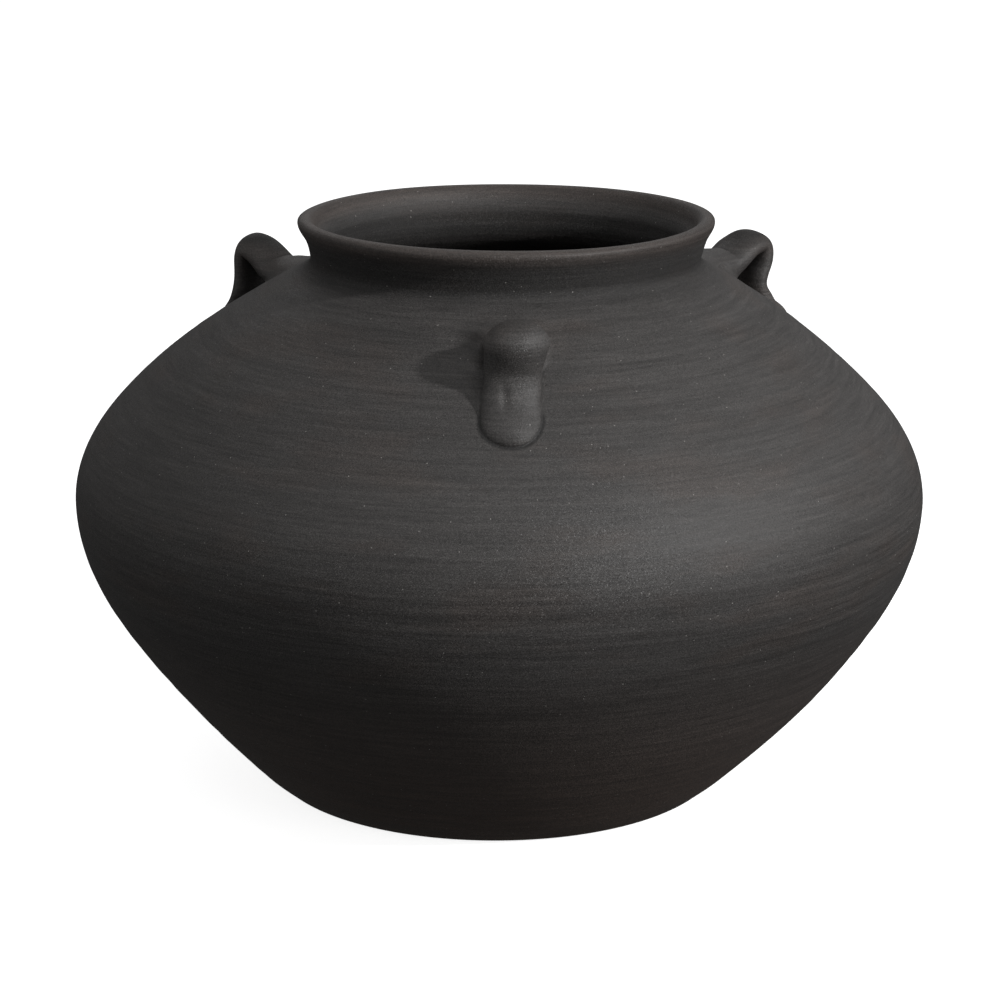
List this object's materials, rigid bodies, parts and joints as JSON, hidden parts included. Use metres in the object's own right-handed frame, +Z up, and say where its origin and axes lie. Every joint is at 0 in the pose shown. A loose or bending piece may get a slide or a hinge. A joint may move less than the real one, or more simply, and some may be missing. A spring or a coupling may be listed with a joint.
{
  "type": "black clay pot",
  "caption": "Round-bodied smoke-blackened clay pot with a flat base, a short flared neck, a rolled lip and pierced strap lugs on the shoulder for a carrying cord.",
  "frame": {"origin": "centre of the flat underside, where the pot stands", "axes": "+Z up along the turned wall's axis; -Y is the front, where the front lug stands, and +X is to the right"},
  "size_m": [0.405, 0.405, 0.2728],
  "materials": {
    "clay_base": "matte",
    "clay_lower_wall": "matte",
    "clay_upper_wall": "matte",
    "clay_neck": "matte",
    "clay_lip": "matte",
    "clay_lugs": "matte"
  },
  "bodies": {
    "root": {"base_disc": "clay_base", "bowl_wall_lower": "clay_lower_wall", "bowl_wall_upper": "clay_lower_wall", "belly_coil_lower": "clay_lower_wall", "belly_coil_upper": "clay_lower_wall", "shoulder_coil_lower": "clay_upper_wall", "shoulder_coil_upper": "clay_upper_wall", "shoulder_wall_lower": "clay_upper_wall", "shoulder_wall_upper": "clay_upper_wall", "neck_collar": "clay_neck", "lip_roll": "clay_lip", "lug_front": "clay_lugs", "lug_rear_right": "clay_lugs", "lug_rear_left": "clay_lugs"}
  },
  "joints": []
}
